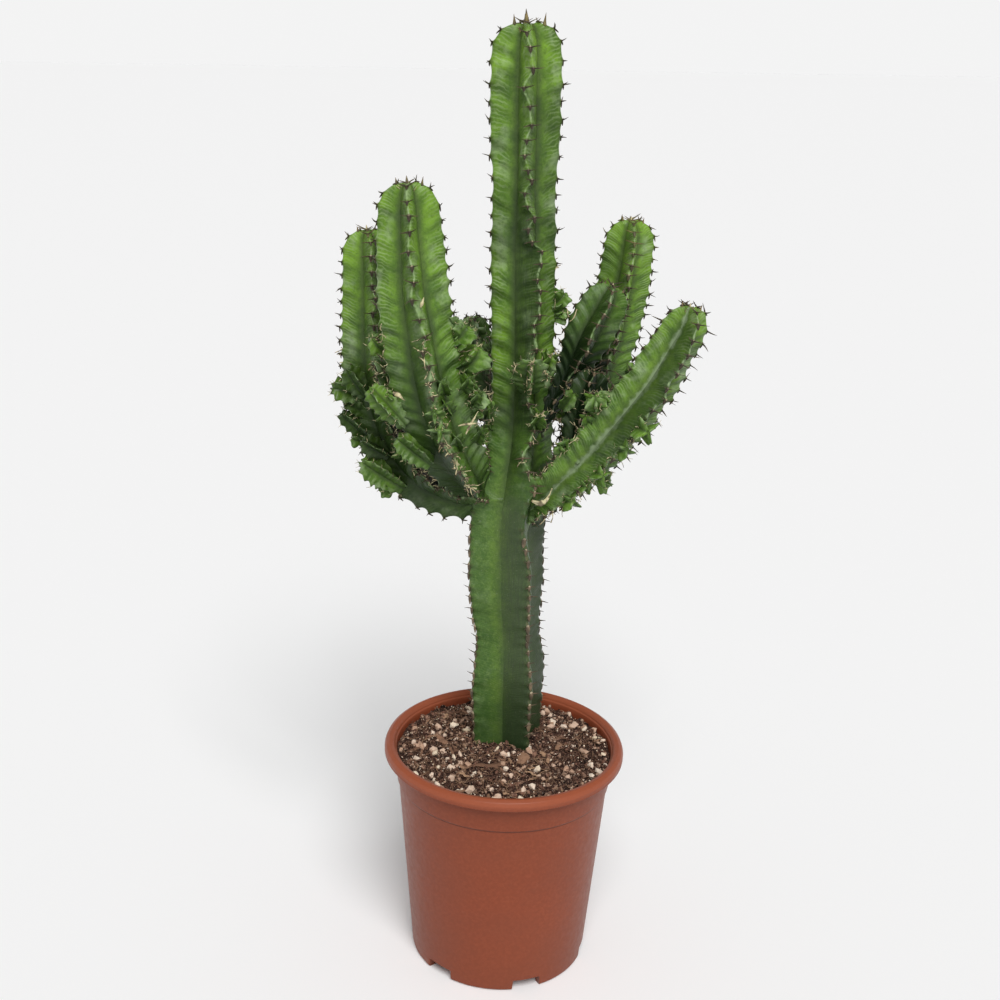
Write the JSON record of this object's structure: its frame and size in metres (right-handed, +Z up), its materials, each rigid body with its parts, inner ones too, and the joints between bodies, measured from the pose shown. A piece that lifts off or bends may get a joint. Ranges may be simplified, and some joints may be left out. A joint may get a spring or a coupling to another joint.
{
  "type": "potted euphorbia",
  "caption": "Candelabra-shaped spiny succulent with ribbed upright stems, rooted in soil in a round plastic nursery pot.",
  "frame": {"origin": "on the pot's axis, in the plane that its feet stand on", "axes": "+Z up along the pot's axis, +X to the right in the front view, +Y away from the viewer"},
  "size_m": [0.2516, 0.1763, 0.6496],
  "materials": {
    "pot": "satin terracotta-coloured moulded plastic",
    "soil": "loose fibrous peat with pale pumice grains and bark chips",
    "stem": "living green skin with a satin waxy sheen, pale transverse ridges and brown spines"
  },
  "bodies": {
    "root": {"pot": "pot", "soil": "soil", "main_stem": "stem", "branch_left_front": "stem", "branch_left": "stem", "branch_left_back": "stem", "branch_right_front": "stem", "branch_right_back": "stem", "branch_right_middle": "stem", "branch_right_low": "stem"}
  },
  "joints": []
}
